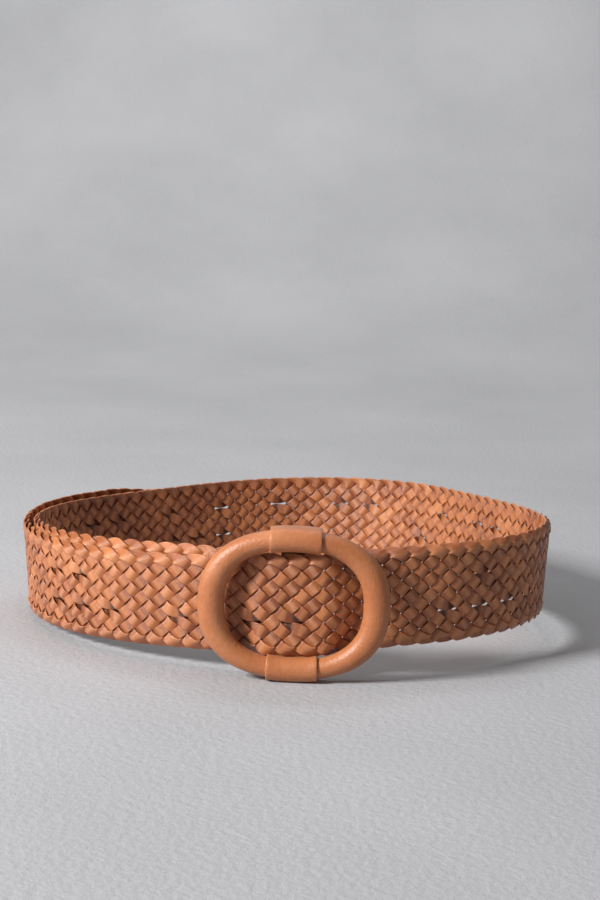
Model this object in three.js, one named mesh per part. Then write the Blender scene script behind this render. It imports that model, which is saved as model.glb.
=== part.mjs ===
// A wide waist belt braided from twelve leather laces, standing on edge as a closed loop, with an
// oval leather-covered ring buckle on a centre bar. Millimetres, +Z up, front of the buckle at -Y.
import * as THREE from 'three';

// ---- driving dimensions (mm and degrees) ----

const strap = {
  height: 50, drawnIn: 2.6,                                // how much it narrows past the ring
  thickness: 2.8, bands: 3, bandGap: 0.3, lean: 5.3, step: 8,
};
// The plan of the worn loop is a circle with a few waves on it: [count, cosine part, sine part].
const loop = { radius: 132.7, waves: [[2, 0.29, -0.26], [3, -7.17, -4.83], [4, 2.21, 2.45]] };
const tail = {
  frontBend: 30, sideBend: 88, end: 156,                   // places along the loop, degrees
  sideSlack: 6.5, endSlack: 8,                             // how far it stands off the inner layer
  sideDrop: 3.1, rearDrop: -2.2, tipDrop: 0.8,             // how far its middle hangs down
  lean: 3, tipTaper: 4,                                    // how much narrower the tip is
};
// Where along the strap, in degrees, each slow change starts and is complete.
const change = {
  innerLeaves: [18, 62],                                   // the first layer comes out from behind
  slackOpens: [14, 84], slackGrows: [96, 140],
  leanEases: [14, 70], rearRises: [50, 110], tipDrops: [122, 148],
};
const buckle = {
  x: -1.2, z: 23.9, radiusX: 39.6, radiusZ: 32.1, squareness: 2.35, // centre line of the ring
  sideHalf: 6.5, topHalf: 4.55, depthHalf: 5.5,             // half sizes of the covered tube
  roll: 2.4, yaw: -1.8, strapGap: 3.2,
};
const leather = { cover: 1.0, wrap: 1.1, tab: 1.2 };
const wrap = { width: 24.4, legLength: 1.2, corner: 0.6, startTurn: -110, endTurn: 100, turnStep: 21 };
const bar = { width: 14, thickness: 2, overlap: 4 };
const tab = {
  height: 40, sections: 3, barPlay: 0.9, sidePlay: 2.0, threadInset: 3, threadPitch: 5,
  foot: 0.5, nose: 0.8, laceGap: 0.5,                      // lace ends to the wraps' corners
};
const cap = { length: 26, end: 1.2, overhang: 0.3, sections: 3 };
const seam = { reach: 1.05, steps: 14 };                   // the ring's seams, radians each way
const rounds = { core: 44, coreSection: 10, cover: 20, coverSection: 12, wrap: 4, thread: 3 };
const wrapCorner = wrap.width / 2;
const thread = 0.7;
const threadMargin = 2;                                    // thread ends to the leather's edges
const clearance = 0.3;
const windowPlay = 0.32;                                   // strap's edges to the wraps' corners
const layerGap = 1.8;                                      // crossing strap to the tab behind it
// The strap domes forward in the window: flat over the bar, then back behind the ring, sooner at
// its edges than along its middle. It keeps its drawn-in height for a step past the wraps.
const dome = { pastWrap: 0.8, middleReach: 38, edgeReach: 22 };
const ringDipReach = 56;
const fullness = 1.5;                                      // how late the dome and the tube fill out
const behind = 180;                                        // the turn at the middle of the back
const restTurn = 155;                                      // where the back of the belt stands
const tangentStep = 0.5;                                   // degrees along the loop
const ringStep = 0.02;                                     // radians round the ring
const settlingTries = 20;

const radians = THREE.MathUtils.degToRad;
const smooth = THREE.MathUtils.smoothstep;
const arcDegrees = (length) => THREE.MathUtils.radToDeg(length / loop.radius);
const slope = (degrees) => Math.tan(radians(degrees));
const sectionTurn = arcDegrees(strap.step);
const middle = strap.height / 2;

// ---- the route of the strap, seen from above: 0 front, 90 left, 180 back, then round again ----

function loopPoint(turn) {
  const angle = radians(turn);
  const waves = loop.waves.map(([n, c, s]) => c * Math.cos(n * angle) + s * Math.sin(n * angle));
  const radius = waves.reduce((sum, wave) => sum + wave, loop.radius);
  return new THREE.Vector2(-radius * Math.sin(angle), -radius * Math.cos(angle));
}

function loopTangent(turn) {
  return loopPoint(turn + tangentStep).sub(loopPoint(turn - tangentStep)).normalize();
}

function routePoint(turn, out) {
  const along = loopTangent(turn);
  return loopPoint(turn).add(new THREE.Vector2(-along.y, along.x).multiplyScalar(out));
}

function turnAt(x) {                                       // the front place with a given x
  let turn = 0;
  for (let tries = 0; tries < settlingTries; tries += 1) {
    turn -= THREE.MathUtils.radToDeg((x - loopPoint(turn).x) / loop.radius);
  }
  return turn;
}

// Depths at the buckle, all as y: the ring clears the strap at its sides, the bar lies behind the
// ring, and the strap bulges forward over the tab on the bar.
const sideDepths = [-1, 1].map((side) => loopPoint(turnAt(buckle.x + side * buckle.radiusX)).y);
const strapFace = Math.min(...sideDepths) - strap.thickness / 2;
const ringY = strapFace - buckle.strapGap - buckle.depthHalf;
const barY = ringY + buckle.depthHalf + clearance + bar.thickness / 2;
const tabFront = barY - bar.thickness / 2 - tab.barPlay - leather.tab;
const windowBulge = loopPoint(0).y - (tabFront - layerGap - strap.thickness / 2);
const innerOffset = strap.thickness + leather.tab + thread + 4 * clearance;

// The strap is drawn in to pass between the two wraps, whose corners reach furthest into the
// window where the ring is rolled.
const wrapInside = tubeHeight(wrapCorner) - tubeHalf(tubeAngle(wrapCorner)) - clearance - leather.wrap;
const windowHeight = 2 * (wrapInside - wrapCorner * slope(buckle.roll) - windowPlay);
const tipHeight = strap.height - tail.tipTaper;

function domeShare(turn, fromMiddle) {                     // 1 over the bar, 0 behind the ring
  if (Math.cos(radians(turn)) < 0) return 0;
  const edge = Math.min(1, Math.abs(fromMiddle) / (windowHeight / 2)) ** fullness;
  const reach = THREE.MathUtils.lerp(dome.middleReach, dome.edgeReach, edge);
  return 1 - smooth(Math.abs(loopPoint(turn).x - buckle.x), wrapCorner + dome.pastWrap, reach);
}

// How far the strap's middle layer lies outside the plain loop. The inner layer stays behind the
// strap that crosses over it, so it takes the edges' shape.
function offsetAt(turn, fromMiddle = middle) {
  if (turn < behind) {
    const held = 1 - smooth(turn, ...change.innerLeaves);
    return windowBulge * domeShare(turn, middle) - innerOffset * held;
  }
  const past = turn - 360;
  const slack = THREE.MathUtils.lerp(tail.sideSlack, tail.endSlack, smooth(past, ...change.slackGrows));
  return windowBulge * domeShare(turn, fromMiddle) + slack * smooth(past, ...change.slackOpens);
}

// ---- solids ----

const material = (color, roughness, metalness = 0) =>
  new THREE.MeshStandardMaterial({ color, roughness, metalness });
const looks = {
  braid: material(0xb5652f, 0.5), smoothLeather: material(0xb9683a, 0.45),
  core: material(0x2b2a28, 0.6), steel: material(0x9a9a9a, 0.35, 0.9), thread: material(0x9c5526, 0.8),
};

// Joins profiles of equal point count into one closed body; inner profiles make it a hollow tube.
function loft(profiles, inner = null, closed = false) {
  const count = profiles[0].length;
  const position = [];
  const index = [];
  const addRings = (rings) => {
    const start = position.length / 3;
    rings.flat().forEach((point) => position.push(point.x, point.y, point.z));
    return (ring, k) => start + (ring % rings.length) * count + (k % count);
  };
  const quad = (a, b, c, d) => index.push(a, b, c, a, c, d);
  const spans = closed ? profiles.length : profiles.length - 1;
  const outside = addRings(profiles);
  const inside = inner && addRings(inner);
  for (let ring = 0; ring < spans; ring += 1) {
    for (let k = 0; k < count; k += 1) {
      quad(outside(ring, k), outside(ring, k + 1), outside(ring + 1, k + 1), outside(ring + 1, k));
      if (!inside) continue;
      quad(inside(ring, k + 1), inside(ring, k), inside(ring + 1, k), inside(ring + 1, k + 1));
    }
  }
  if (!closed) capEnds(profiles, outside, inside, index, count);
  const geometry = new THREE.BufferGeometry();
  geometry.setAttribute('position', new THREE.Float32BufferAttribute(position, 3));
  geometry.setIndex(index);
  return facingOut(geometry);
}

// An outline runs out along one side and back along the other, so its end is filled in pairs.
function capEnds(profiles, outside, inside, index, count) {
  const last = profiles.length - 1;
  const quad = (a, b, c, d) => index.push(a, b, c, a, c, d);
  if (inside) {
    for (let k = 0; k < count; k += 1) {
      quad(outside(0, k + 1), outside(0, k), inside(0, k), inside(0, k + 1));
      quad(outside(last, k), outside(last, k + 1), inside(last, k + 1), inside(last, k));
    }
    return;
  }
  for (let k = 0; k < count / 2 - 1; k += 1) {
    const across = count - 1 - k;
    quad(outside(0, k + 1), outside(0, k), outside(0, across), outside(0, across - 1));
    quad(outside(last, k), outside(last, k + 1), outside(last, across - 1), outside(last, across));
  }
}

function facingOut(geometry) {
  const { array } = geometry.getAttribute('position');
  const { array: index } = geometry.getIndex();
  const corner = (k) => new THREE.Vector3().fromArray(array, index[k] * 3);
  const firsts = Array.from({ length: index.length / 3 }, (_, face) => face * 3);
  const volume = firsts.reduce((sum, k) => sum + corner(k).dot(corner(k + 1).cross(corner(k + 2))), 0);
  if (volume < 0) firsts.forEach((k) => { [index[k], index[k + 1]] = [index[k + 1], index[k]]; });
  geometry.computeVertexNormals();
  return geometry;
}

// The strap's lean, height and drop change along it: near the ring it follows the ring's middle,
// and the free end is narrower, stands more upright and hangs lower at the front.
function sectionAt(turn) {
  const past = turn - 360;
  const away = Math.abs(loopPoint(turn).x - buckle.x);
  const near = Math.cos(radians(turn)) > 0 ? 1 - smooth(away, wrapCorner + strap.step, ringDipReach) : 0;
  const between = (front, rear, tip) => THREE.MathUtils.lerp(
    THREE.MathUtils.lerp(front, rear, smooth(past, ...change.rearRises)),
    tip, smooth(past, ...change.tipDrops));
  const tailDrop = between(tail.sideDrop, tail.rearDrop, tail.tipDrop);
  const tailHeight = between(strap.height - strap.drawnIn, strap.height, tipHeight);
  const freeHeight = past > 0 ? tailHeight : strap.height;
  const height = turn < behind ? strap.height
    : THREE.MathUtils.lerp(freeHeight, windowHeight, near);
  return {
    slope: THREE.MathUtils.lerp(slope(strap.lean), slope(tail.lean), smooth(past, ...change.leanEases)),
    share: height / strap.height,
    drop: THREE.MathUtils.lerp(past > 0 ? tailDrop : 0, middle - buckle.z, near),
  };
}

function place(turn, out, z) {                             // a point on the leaning strap
  const section = sectionAt(turn);
  const fromMiddle = (z - middle) * section.share;
  const point = routePoint(turn, offsetAt(turn, fromMiddle) + out + fromMiddle * section.slope);
  return new THREE.Vector3(point.x, point.y, middle - section.drop + fromMiddle);
}

// A flat strip along the strap from one turn to another, between two depths and two heights.
function strip(from, to, inside, outside, low, high) {
  const turns = [];
  for (let turn = from; turn < to - sectionTurn / 2; turn += sectionTurn) turns.push(turn);
  return loft([...turns, to].map((turn) => [
    place(turn, inside, low), place(turn, outside, low),
    place(turn, outside, high), place(turn, inside, high),
  ]));
}

const bandHeight = strap.height / strap.bands;
const half = strap.thickness / 2;

function band(number, from, to) {
  const low = number * bandHeight + (number > 0 ? strap.bandGap / 2 : 0);
  const high = (number + 1) * bandHeight - (number < strap.bands - 1 ? strap.bandGap / 2 : 0);
  return strip(from, to, -half, half, low, high);
}

// ---- the ring, drawn flat about its own centre and then placed ----

function ringFrame(angle) {                                // angle 0 is its right side
  const power = 2 / buckle.squareness;
  const reach = (value) => Math.sign(value) * Math.abs(value) ** power;
  const at = (a) => new THREE.Vector3(
    buckle.radiusX * reach(Math.cos(a)), 0, buckle.radiusZ * reach(Math.sin(a)));
  const centre = at(angle);
  const outward = at(angle + ringStep).sub(at(angle - ringStep)).normalize();
  return { centre, outward: new THREE.Vector3(outward.z, 0, -outward.x) };
}

function tubeHalf(angle) {                                 // fuller at the sides than at the top
  return THREE.MathUtils.lerp(buckle.topHalf, buckle.sideHalf, Math.abs(Math.cos(angle)) ** fullness);
}

function tubeProfile(angle, inset, points = rounds.coverSection) {
  const { centre, outward } = ringFrame(angle);
  const radial = tubeHalf(angle) - inset;
  const depth = buckle.depthHalf - inset;
  return Array.from({ length: points }, (_, k) => {
    const turn = (k + 0.5) / points * 2 * Math.PI;
    return centre.clone().addScaledVector(outward, radial * Math.cos(turn))
      .add(new THREE.Vector3(0, depth * Math.sin(turn), 0));
  });
}

function ringCore() {
  const inset = leather.cover + clearance;
  const profiles = Array.from({ length: rounds.core }, (_, k) =>
    tubeProfile(k / rounds.core * 2 * Math.PI, inset, rounds.coreSection));
  return loft(profiles, null, true);
}

function ringCover(side) {
  const start = -Math.PI / 2 + side * clearance / buckle.radiusX;
  const span = side * (Math.PI - 2 * clearance / buckle.radiusX);
  const angles = Array.from({ length: rounds.cover + 1 }, (_, k) => start + span * k / rounds.cover);
  return loft(angles.map((a) => tubeProfile(a, 0)), angles.map((a) => tubeProfile(a, leather.cover)));
}

// The sewn seam of the cover runs along the back of the tube.
function ringSeam(side) {
  const route = Array.from({ length: seam.steps + 1 }, (_, k) => {
    const fromSide = seam.reach * (2 * k / seam.steps - 1);
    const { centre } = ringFrame(side > 0 ? fromSide : Math.PI + fromSide);
    return new THREE.Vector3(centre.x, buckle.depthHalf + clearance + thread / 2, centre.z);
  });
  return cord(route);
}

function cord(route) {
  const section = new THREE.Shape().absarc(0, 0, thread / 2, 0, 2 * Math.PI, false);
  const path = new THREE.CatmullRomCurve3(route);
  const steps = route.length * 2;
  return new THREE.ExtrudeGeometry(section, { steps, extrudePath: path, curveSegments: rounds.thread });
}

function tubeAngle(x) {                                    // the place on the top half with a given x
  return Math.acos(Math.abs(x / buckle.radiusX) ** (buckle.squareness / 2));
}

function tubeHeight(x) {
  return ringFrame(tubeAngle(x)).centre.z;
}

// The wraps are pressed flat along their crown, so that the lower one bears on a broad face.
const bearing = tubeHeight(wrap.width / 3) + buckle.topHalf + clearance + leather.wrap;

// One leather strip round the tube: it starts on the front of the bar, goes through the window,
// round the front and over the top, and comes down the back of the bar.
function wrapAround(side) {
  const gap = clearance;
  const legEnd = buckle.radiusZ - buckle.topHalf - gap - leather.wrap - wrap.legLength;
  const barFront = buckle.depthHalf;
  const barBack = buckle.depthHalf + gap + bar.thickness + gap;
  const section = (x, inset) => {
    const z = tubeHeight(x);
    const tubeZ = tubeHalf(tubeAngle(x)) + gap + inset;
    const tubeY = buckle.depthHalf + gap + inset;
    const points = [[barFront - inset, legEnd]];
    for (let turn = wrap.startTurn; turn <= wrap.endTurn; turn += wrap.turnStep) {
      const height = z + tubeZ * Math.sin(radians(turn));
      points.push([-tubeY * Math.cos(radians(turn)), inset > 0 ? Math.min(height, bearing) : height]);
    }
    points.push([barBack + inset - wrap.corner, z + bar.overlap + gap + inset - inset * gap]);
    points.push([barBack + inset, z + bar.overlap - wrap.corner]);
    points.push([barBack + inset, legEnd]);
    return points;
  };
  const profiles = Array.from({ length: rounds.wrap + 1 }, (_, k) => {
    const x = wrap.width * (k / rounds.wrap - 0.5);
    const outer = section(x, leather.wrap);
    const inner = section(x, 0).reverse();
    return [...outer, ...inner].map(([y, z]) => new THREE.Vector3(x, y, side * z));
  });
  return loft(profiles);
}

function centreBar() {
  const length = 2 * (buckle.radiusZ + bar.overlap - wrap.corner);
  const geometry = new THREE.BoxGeometry(bar.width, bar.thickness, length);
  return geometry.translate(0, barY - ringY, 0);
}

// ---- the folded leather tab that holds the laces' fixed ends and swings on the bar ----

// A plan outline raised to a height above or below the strap's middle, leaning as the strap does.
function leaning(outline, fromMiddle, turn) {
  const section = sectionAt(turn);
  const shift = outwardAt(turn).multiplyScalar(fromMiddle * section.slope);
  const z = middle - section.drop + fromMiddle;
  return outline.map((point) => new THREE.Vector3(point.x + shift.x, point.y + shift.y, z));
}

function upright(outline, reach, turn) {
  return loft([-reach, reach].map((fromMiddle) => leaning(outline, fromMiddle, turn)));
}

const rolledCorner = wrapCorner + buckle.radiusZ * slope(buckle.roll);
const braidStart = turnAt(buckle.x - rolledCorner - tab.laceGap);
const leaf = half + clearance;
const outwardAt = (turn) => routePoint(turn, 1).sub(routePoint(turn, 0));

function tabPlan(inset) {
  const points = [];
  for (let k = tab.sections; k >= 0; k -= 1) {
    points.push(routeAt(braidStart + k * sectionTurn, leaf + inset));
  }
  const barHalf = bar.thickness / 2 + tab.barPlay + inset;
  const left = buckle.x - bar.width / 2 - tab.foot;
  const right = buckle.x + bar.width / 2 + tab.sidePlay;
  points.push(new THREE.Vector2(left, barY - barHalf));
  for (let turn = -90; turn <= 90; turn += 30) {
    const angle = radians(turn);
    const reach = barHalf * tab.nose * Math.cos(angle);
    points.push(new THREE.Vector2(right + reach, barY + barHalf * Math.sin(angle)));
  }
  points.push(new THREE.Vector2(left, barY + barHalf));
  for (let k = 0; k <= tab.sections; k += 1) {
    points.push(routeAt(braidStart + k * sectionTurn, -leaf - inset));
  }
  return points;
}

function routeAt(turn, out) {
  const point = routePoint(turn, offsetAt(turn) + out);
  return new THREE.Vector2(point.x, point.y);
}

function buckleTab() {
  const outline = [...tabPlan(leather.tab), ...tabPlan(0).reverse()];
  return upright(outline, tab.height / 2, braidStart);
}

// An upright row of thread on one face of the folded leather, over the clamped lace ends.
function threadRow(turn, side, reach) {
  const near = side * (leaf + leather.tab + clearance);
  const depths = [near, near + side * thread].sort((a, b) => a - b);
  const width = arcDegrees(thread) / 2;
  const corners = [[-width, 0], [width, 0], [width, 1], [-width, 1]];
  const outline = corners.map(([shift, k]) => routeAt(turn + shift, depths[k]));
  return upright(outline, reach, turn);
}

function tabThread(row, side) {
  const fromEnd = arcDegrees(tab.threadInset + row * tab.threadPitch);
  const turn = braidStart + tab.sections * sectionTurn - fromEnd;
  return threadRow(turn, side, tab.height / 2 - threadMargin);
}

// ---- the folded leather cap on the free end ----

const capTurn = arcDegrees(cap.length);
const capReach = tipHeight / 2 + cap.overhang;

function tailCap() {
  const from = 360 + tail.end - capTurn;
  const to = 360 + tail.end + arcDegrees(cap.end + clearance);
  const outline = (inset) => {
    const end = to - arcDegrees(cap.end) * (inset === 0 ? 1 : 0);
    const step = (end - from) / cap.sections;
    const turns = Array.from({ length: cap.sections + 1 }, (_, k) => from + step * k);
    return [...turns.map((turn) => routeAt(turn, leaf + inset)),
      ...turns.reverse().map((turn) => routeAt(turn, -leaf - inset))];
  };
  return upright([...outline(leather.tab), ...outline(0).reverse()], capReach, 360 + tail.end);
}

function capThread(side) {
  const turn = 360 + tail.end - capTurn + arcDegrees(tab.threadInset);
  return threadRow(turn, side, capReach - threadMargin);
}

// ---- assembly ----

const belt = new THREE.Group();
const standing = new THREE.Group();
belt.add(standing);
const add = (parent, name, geometry, look) => {
  const mesh = new THREE.Mesh(geometry, look);
  mesh.name = name;
  parent.add(mesh);
};

const bandNames = ['lower', 'middle', 'upper'];
bandNames.forEach((name, number) => {
  const split = arcDegrees(clearance);
  add(standing, `${name}_braid`, band(number, braidStart, 360 + tail.frontBend), looks.braid);
  add(standing, `${name}_braid_tail_front`,
    band(number, 360 + tail.frontBend + split, 360 + tail.sideBend), looks.braid);
  add(standing, `${name}_braid_tail_rear`,
    band(number, 360 + tail.sideBend + split, 360 + tail.end), looks.braid);
});
add(standing, 'buckle_tab', buckleTab(), looks.smoothLeather);
for (const row of [0, 1]) {
  add(standing, `tab_face_thread_${row + 1}`, tabThread(row, 1), looks.thread);
  add(standing, `tab_back_thread_${row + 1}`, tabThread(row, -1), looks.thread);
}
add(standing, 'tail_cap', tailCap(), looks.smoothLeather);
add(standing, 'cap_face_thread', capThread(1), looks.thread);
add(standing, 'cap_back_thread', capThread(-1), looks.thread);

const ring = new THREE.Group();
ring.position.set(buckle.x, ringY, buckle.z);
ring.rotation.set(radians(strap.lean), radians(buckle.roll), radians(buckle.yaw), 'ZXY');
standing.add(ring);
add(ring, 'ring_core', ringCore(), looks.core);
add(ring, 'ring_cover_right', ringCover(1), looks.smoothLeather);
add(ring, 'ring_cover_left', ringCover(-1), looks.smoothLeather);
add(ring, 'ring_seam_right', ringSeam(1), looks.thread);
add(ring, 'ring_seam_left', ringSeam(-1), looks.thread);
add(ring, 'centre_bar', centreBar(), looks.steel);
add(ring, 'top_wrap', wrapAround(1), looks.smoothLeather);
add(ring, 'bottom_wrap', wrapAround(-1), looks.smoothLeather);

// The belt stands on the bottom wrap and on the lower edge of its back: the floor is the plane
// through the wrap's underside that just touches that edge.
const under = new THREE.Vector3(0, 0, -bearing);
ring.updateMatrixWorld();
under.applyMatrix4(ring.matrixWorld);
const edge = place(restTurn, half, 0);
const along = place(restTurn + 1, half, 0).sub(edge);
const up = along.cross(under.clone().sub(edge)).normalize();
if (up.z < 0) up.negate();
standing.quaternion.setFromUnitVectors(up, new THREE.Vector3(0, 0, 1));

belt.updateMatrixWorld(true);
const bounds = new THREE.Box3().setFromObject(belt, true);
const centre = bounds.getCenter(new THREE.Vector3());
standing.position.sub(new THREE.Vector3(centre.x, centre.y, bounds.min.z));
belt.updateMatrixWorld(true);

export default belt;
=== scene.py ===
# %% [markdown]
# # A braided leather belt with a covered ring buckle
#
# The belt stands on edge in a loop, as it would round a waist. Twelve narrow leather laces are
# braided into one wide flat strap. Its fixed end is folded round a bar that crosses an oval ring,
# and its free end comes back over that bar, tucks behind the ring and lies outside the first layer.
#
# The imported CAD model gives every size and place. This lesson dresses it: each lace becomes a real
# strip of leather that passes over and under its neighbours, the ring gets its sewn cover and its
# two wraps, and the light comes from the left through a large soft window.

# %% Load the frame
import bmesh
import bpy
import numpy as np
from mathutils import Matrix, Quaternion, Vector


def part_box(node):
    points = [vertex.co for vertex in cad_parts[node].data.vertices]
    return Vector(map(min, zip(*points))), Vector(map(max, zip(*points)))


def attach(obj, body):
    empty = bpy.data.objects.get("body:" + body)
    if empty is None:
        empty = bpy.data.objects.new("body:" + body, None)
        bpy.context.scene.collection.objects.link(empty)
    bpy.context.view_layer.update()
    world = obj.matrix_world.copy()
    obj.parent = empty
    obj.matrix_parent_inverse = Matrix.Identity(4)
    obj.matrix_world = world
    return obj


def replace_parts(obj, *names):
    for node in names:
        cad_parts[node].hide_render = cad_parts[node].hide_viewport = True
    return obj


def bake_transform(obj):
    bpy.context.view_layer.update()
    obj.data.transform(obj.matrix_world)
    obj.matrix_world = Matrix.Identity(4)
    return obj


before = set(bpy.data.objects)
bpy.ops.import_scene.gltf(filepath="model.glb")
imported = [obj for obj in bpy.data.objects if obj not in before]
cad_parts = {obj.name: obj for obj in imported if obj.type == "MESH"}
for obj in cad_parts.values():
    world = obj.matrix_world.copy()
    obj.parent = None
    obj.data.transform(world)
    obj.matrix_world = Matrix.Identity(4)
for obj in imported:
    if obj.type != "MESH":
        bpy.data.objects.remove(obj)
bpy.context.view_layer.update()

# %% [markdown]
# ## Where the strap runs
#
# A belt that stands on a table is not a perfect circle. The CAD model draws its plan as a circle
# with a few slow waves on it, and bends every section along that line. A braid that is made flat
# and then bent along the same line fits the CAD exactly, so the first step repeats that line here.
# Sizes are in millimetres and turns in degrees: 0 at the front, 90 at the left, 180 at the back,
# and past 360 for the second layer, which is the free end.

# %% The line of the loop
LOOP_RADIUS = 132.7
LOOP_WAVES = ((2, 0.29, -0.26), (3, -7.17, -4.83), (4, 2.21, 2.45))
STRAP_HEIGHT = 50.0
STRAP_MIDDLE = STRAP_HEIGHT / 2
TANGENT_STEP = 0.5


def loop_point(turn):
    angle = np.radians(turn)
    radius = LOOP_RADIUS + sum(c * np.cos(n * angle) + s * np.sin(n * angle) for n, c, s in LOOP_WAVES)
    return np.stack([-radius * np.sin(angle), -radius * np.cos(angle)], -1)


def outward(turn):
    along = loop_point(turn + TANGENT_STEP) - loop_point(turn - TANGENT_STEP)
    along = along / np.linalg.norm(along, axis=-1, keepdims=True)
    return np.stack([-along[..., 1], along[..., 0]], -1)


def smooth(value, low, high):
    share = np.clip((value - low) / (high - low), 0, 1)
    return share * share * (3 - 2 * share)


def mix(a, b, share):
    return a + (b - a) * share


print("front of the plain loop", loop_point(np.array(0.0)))

# %% [markdown]
# ## How the strap is held at the buckle
#
# The strap leans a little, is set level with the ring's middle where it passes through the ring,
# domes forward over the bar and drops back behind the ring on both sides. The first layer runs just
# behind it, and the free end stands a few millimetres off the side. Each of these is a smooth step
# along the line, so one function gives the place of any point: how far along, how high up and how deep.

# %% Depth, lean and drop along the strap
RING = {"x": -1.2, "y": -135.2388, "z": 23.9, "radius_x": 39.6, "radius_z": 32.1, "squareness": 2.35,
        "side_half": 6.5, "top_half": 4.55, "depth_half": 5.5, "lean": 5.3, "roll": 2.4, "yaw": -1.8}
BAR = {"y": -128.4388, "width": 14.0, "thickness": 2.0, "overlap": 4.0, "play": 0.9, "side_play": 2.0}
WINDOW_BULGE = 6.7088
INNER_OFFSET = 5.9
WINDOW_HEIGHT, WINDOW_LOWERED = 51.0, 0.4
WINDOW_HALF = 24.2
DOME_FLAT, DOME_MIDDLE_REACH, DOME_EDGE_REACH, DOME_FULLNESS = 13, 38.0, 22.0, 1.5
DIP_FLAT, DIP_REACH = 20.2, 56
TAIL = {"side_slack": 6.5, "end_slack": 8.0, "side_drop": 3.1, "rear_drop": -2.2, "tip_drop": 0.8,
        "drawn_height": 47.4, "tip_height": 46.0, "end": 516.0}
STRAP_SLOPE, TAIL_SLOPE = np.tan(np.radians(5.3)), np.tan(np.radians(3.0))


def dome_share(turn, from_middle):
    edge = np.minimum(1, np.abs(from_middle) / WINDOW_HALF) ** DOME_FULLNESS
    away = np.abs(loop_point(turn)[..., 0] - RING["x"])
    share = 1 - smooth(away, DOME_FLAT, mix(DOME_MIDDLE_REACH, DOME_EDGE_REACH, edge))
    return np.where(np.cos(np.radians(turn)) < 0, 0, share)


def offset_at(turn, from_middle):
    past = turn - 360
    held_behind = INNER_OFFSET * (1 - smooth(turn, 18, 62))
    inner = WINDOW_BULGE * dome_share(turn, STRAP_MIDDLE + 0 * turn) - held_behind
    slack = mix(TAIL["side_slack"], TAIL["end_slack"], smooth(past, 96, 140))
    outer = WINDOW_BULGE * dome_share(turn, from_middle) + slack * smooth(past, 14, 84)
    return np.where(turn < 200, inner, outer)


def section_at(turn):
    past = turn - 360
    rear, tip = smooth(past, 50, 110), smooth(past, 122, 148)
    away = np.abs(loop_point(turn)[..., 0] - RING["x"])
    near = np.where(np.cos(np.radians(turn)) > 0, 1 - smooth(away, DIP_FLAT, DIP_REACH), 0)
    drop = np.where(past > 0, mix(mix(TAIL["side_drop"], TAIL["rear_drop"], rear), TAIL["tip_drop"], tip), 0)
    tall = mix(mix(TAIL["drawn_height"], STRAP_HEIGHT, rear), TAIL["tip_height"], tip)
    tall = mix(np.where(past > 0, tall, STRAP_HEIGHT), WINDOW_HEIGHT, near)
    share = np.where(turn < 180, 1, tall / STRAP_HEIGHT)
    slope = mix(STRAP_SLOPE, TAIL_SLOPE, smooth(past, 14, 70))
    return slope, share, mix(drop, STRAP_MIDDLE - RING["z"] + WINDOW_LOWERED, near)


def on_strap(turn, depth, height):
    slope, share, drop = section_at(turn)
    from_middle = (height - STRAP_MIDDLE) * share
    out = offset_at(turn, from_middle) + depth + from_middle * slope
    plan = loop_point(turn) + outward(turn) * out[..., None]
    return np.concatenate([plan, (STRAP_MIDDLE - drop + from_middle)[..., None]], -1)


# %% [markdown]
# ## Standing it up
#
# The CAD model sets the loop down on two places: the underside of the lower wrap and the lower
# edge at the back. That tips it by a few degrees. The same turn and shift take the millimetre
# drawing to the place of the CAD pieces in metres.

# %% From the drawing to the frame
STANDING_TURN = Quaternion((0.99953947, -0.02369739, -0.01895451, 0.0))
STANDING_SHIFT = Vector((7.93994664, -3.38797759, 7.53486783))


def stand(points):
    matrix = np.array(STANDING_TURN.to_matrix())
    return (points @ matrix.T + np.array(STANDING_SHIFT)) / 1000


# %% [markdown]
# ## Leather colours
#
# Vegetable-tanned leather is never one flat colour. The tan is a little redder and darker in broad
# patches, every lace comes from another part of the hide, the surface has fine pores and lengthwise
# creases, and edges that rub turn paler. The finish reads Object coordinates, so it stays put on a
# piece, and numbers that each lace carries: its tone, and how deep in the braid a point lies. Where
# laces dive under each other the colour is darkened to a near-black as painted shade, and the crests
# are lightened as a painted highlight that also stands for rubbed wear.

# %% A small helper for shader nodes
def shader(name, roughness, specular=0.5, metallic=0.0, sheen=0.0):
    finish = bpy.data.materials.new(name)
    finish.use_nodes = True
    nodes, links = finish.node_tree.nodes, finish.node_tree.links
    surface = nodes["Principled BSDF"]
    surface.inputs["Roughness"].default_value = roughness
    surface.inputs["Specular IOR Level"].default_value = specular
    surface.inputs["Metallic"].default_value = metallic
    surface.inputs["Sheen Weight"].default_value = sheen
    return finish, nodes, links, surface


def math(nodes, links, operation, first, second):
    node = nodes.new("ShaderNodeMath")
    node.operation = operation
    for socket, value in zip(node.inputs, (first, second)):
        if isinstance(value, (int, float)):
            socket.default_value = value
        else:
            links.new(value, socket)
    return node.outputs[0]


def noise(nodes, links, place, scale, detail=3.0, roughness=0.55):
    node = nodes.new("ShaderNodeTexNoise")
    node.inputs["Scale"].default_value = scale
    node.inputs["Detail"].default_value = detail
    node.inputs["Roughness"].default_value = roughness
    links.new(place, node.inputs["Vector"])
    return node.outputs["Fac"]


def ramp(nodes, links, value, stops):
    node = nodes.new("ShaderNodeValToRGB")
    while len(node.color_ramp.elements) < len(stops):
        node.color_ramp.elements.new(0.5)
    for element, (position, color) in zip(node.color_ramp.elements, stops):
        element.position = position
        element.color = (*color, 1)
    links.new(value, node.inputs["Fac"])
    return node.outputs["Color"]


def blend_color(nodes, links, share, first, second, how="MIX"):
    node = nodes.new("ShaderNodeMix")
    node.data_type, node.blend_type = "RGBA", how
    sockets = node.inputs["Factor"], node.inputs["A"], node.inputs["B"]
    for socket, value in zip(sockets, (share, first, second)):
        if isinstance(value, (int, float, tuple)):
            socket.default_value = value
        else:
            links.new(value, socket)
    return node.outputs["Result"]


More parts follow.
